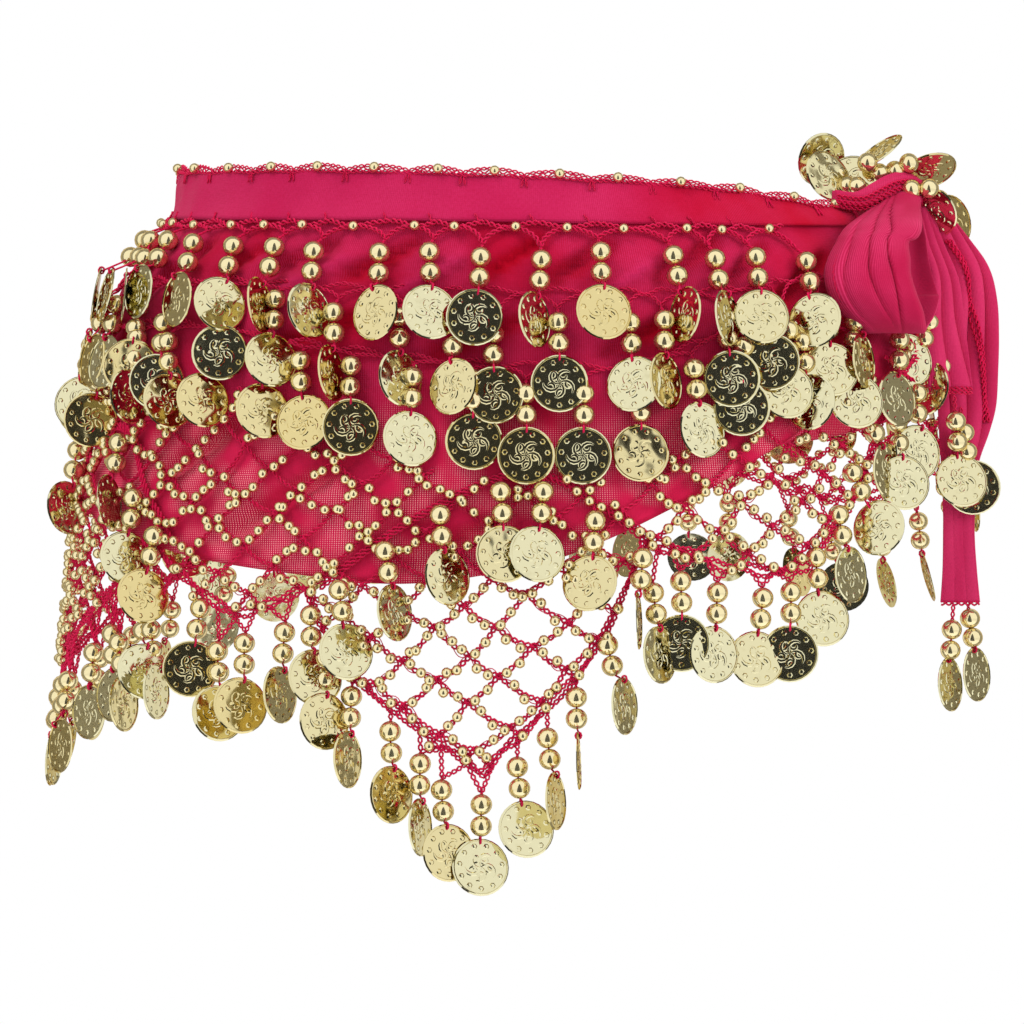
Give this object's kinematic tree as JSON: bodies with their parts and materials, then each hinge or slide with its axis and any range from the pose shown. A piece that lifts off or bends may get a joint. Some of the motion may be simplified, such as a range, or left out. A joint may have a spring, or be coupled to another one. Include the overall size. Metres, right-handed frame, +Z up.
{
  "type": "belly dance hip scarf",
  "caption": "Long cloth tied round the hips with a side bow, edged with crochet, and hung with rows of beads and coins and a pointed bead net.",
  "frame": {"origin": "middle of the ring where the wearer's waist holds the scarf, level with the lower part of its plain waist band", "axes": "+Z up, the wearer faces -Y, and the knot is on the wearer's left, at +X"},
  "size_m": [0.3563, 0.2531, 0.267],
  "materials": {
    "cloth": "soft fuchsia knit with a slight nap",
    "thread": "fuchsia crochet thread",
    "coins": "pale gold plate, stamped"
  },
  "bodies": {
    "root": {"hip_cloth": "cloth", "top_edging": "thread", "coin_row_1": "coins", "coin_row_2": "coins", "coin_row_3": "coins", "bead_net": "thread", "net_fringe": "coins", "arch_fringe_front": "coins", "arch_fringe_side": "coins", "knot": "cloth", "knot_band": "cloth", "bow_loop": "cloth", "knot_fringe_inner": "coins", "knot_fringe_outer": "coins", "tail_outer": "cloth", "tail_inner": "cloth", "tail_edging": "thread", "tail_fringe": "coins"}
  },
  "joints": []
}
